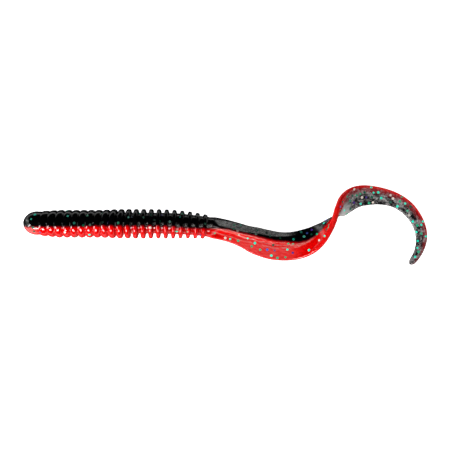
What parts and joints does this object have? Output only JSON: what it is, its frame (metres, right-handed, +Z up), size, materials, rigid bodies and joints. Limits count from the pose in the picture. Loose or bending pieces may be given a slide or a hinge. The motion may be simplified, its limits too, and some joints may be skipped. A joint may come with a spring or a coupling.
{
  "type": "soft plastic worm",
  "caption": "Soft plastic fishing worm with a ribbed round body, a twisted ribbon tail that ends in a curl, a black back layer and a red belly layer.",
  "frame": {"origin": "centre of the bounding box's base, on the surface that the worm lies on", "axes": "+X from the nose towards the tail, +Y towards the black back, +Z up from the surface, with the worm lying on its side"},
  "size_m": [0.152, 0.0302, 0.0106],
  "materials": {
    "back_black": "wet-look gloss, smoky and see-through where thin, with glitter flakes",
    "glitter_foil": "bright hexagonal foil flakes, mostly teal and green, some blue, violet and silver",
    "belly_red": "wet-look gloss, translucent, with glitter flakes"
  },
  "bodies": {
    "head": {"back_head": "back_black", "belly_head": "belly_red"},
    "shoulder": {"back_shoulder": "back_black", "belly_shoulder": "belly_red"},
    "middle": {"back_middle": "back_black", "belly_middle": "belly_red"},
    "waist": {"back_waist": "back_black", "belly_waist": "belly_red"},
    "hip": {"back_hip": "back_black", "belly_hip": "belly_red"},
    "tail_root": {"back_tail_root": "back_black", "belly_tail_root": "belly_red"},
    "tail_blade": {"back_tail_blade": "back_black", "belly_tail_blade": "belly_red"},
    "tail_turn": {"back_tail_turn": "back_black", "belly_tail_turn": "belly_red"},
    "tail_edge": {"back_tail_edge": "back_black", "belly_tail_edge": "belly_red"},
    "curl_start": {"back_curl_start": "back_black", "belly_curl_start": "belly_red"},
    "curl_middle": {"back_curl_middle": "back_black", "belly_curl_middle": "belly_red"},
    "curl_end": {"back_curl_end": "back_black", "belly_curl_end": "belly_red"},
    "tip": {"back_tip": "back_black"}
  },
  "joints": [
    {"name": "fore_swing", "type": "hinge", "parent": "head", "child": "shoulder", "pos_m": [-0.05511, 0.0007, 0.00496], "axis": [0, 0, 1], "range_deg": [-20, 20], "stiffness_Nm_per_rad": 0.004},
    {"name": "fore_lift", "type": "hinge", "parent": "shoulder", "child": "middle", "pos_m": [-0.04097, 0.0007, 0.00525], "axis": [0, -1, 0], "range_deg": [0, 20], "stiffness_Nm_per_rad": 0.004},
    {"name": "mid_swing", "type": "hinge", "parent": "middle", "child": "waist", "pos_m": [-0.02682, 0.00069, 0.00526], "axis": [0, 0, -1], "range_deg": [-20, 20], "stiffness_Nm_per_rad": 0.004},
    {"name": "rear_lift", "type": "hinge", "parent": "waist", "child": "hip", "pos_m": [-0.0127, 0, 0.00482], "axis": [-0.0977, -0.9952, 0], "range_deg": [0, 20], "stiffness_Nm_per_rad": 0.003},
    {"name": "root_swing", "type": "hinge", "parent": "hip", "child": "tail_root", "pos_m": [0.00149, -0.0025, 0.00386], "axis": [0, 0, 1], "range_deg": [-20, 20], "stiffness_Nm_per_rad": 0.002},
    {"name": "spine_lift", "type": "hinge", "parent": "tail_root", "child": "tail_blade", "pos_m": [0.01278, -0.00648, 0.00303], "axis": [-0.2972, -0.9548, 0], "range_deg": [0, 30], "stiffness_Nm_per_rad": 0.0005},
    {"name": "blade_swing", "type": "hinge", "parent": "tail_blade", "child": "tail_turn", "pos_m": [0.02458, -0.00792, 0.00299], "axis": [0, 0, -1], "range_deg": [-20, 20], "stiffness_Nm_per_rad": 0.0008},
    {"name": "turn_swing", "type": "hinge", "parent": "tail_turn", "child": "tail_edge", "pos_m": [0.04037, 0.00309, 0.00493], "axis": [0, 0, -1], "range_deg": [-35, 35], "stiffness_Nm_per_rad": 0.00005},
    {"name": "edge_lift", "type": "hinge", "parent": "tail_edge", "child": "curl_start", "pos_m": [0.05213, 0.01121, 0.0009], "axis": [0.0796, -0.9968, 0], "range_deg": [0, 40], "stiffness_Nm_per_rad": 0.00004},
    {"name": "curl_swing", "type": "hinge", "parent": "curl_start", "child": "curl_middle", "pos_m": [0.06295, 0.00979, 0.00064], "axis": [0, 0, 1], "range_deg": [-15, 35], "stiffness_Nm_per_rad": 0.0002},
    {"name": "curl_lift", "type": "hinge", "parent": "curl_middle", "child": "curl_end", "pos_m": [0.07046, 0.00418, 0.00063], "axis": [-0.7928, -0.6095, 0], "range_deg": [0, 45], "stiffness_Nm_per_rad": 0.00003},
    {"name": "tip_swing", "type": "hinge", "parent": "curl_end", "child": "tip", "pos_m": [0.07378, -0.00405, 0.00063], "axis": [0, 0, 1], "range_deg": [-10, 35], "stiffness_Nm_per_rad": 0.0001}
  ]
}
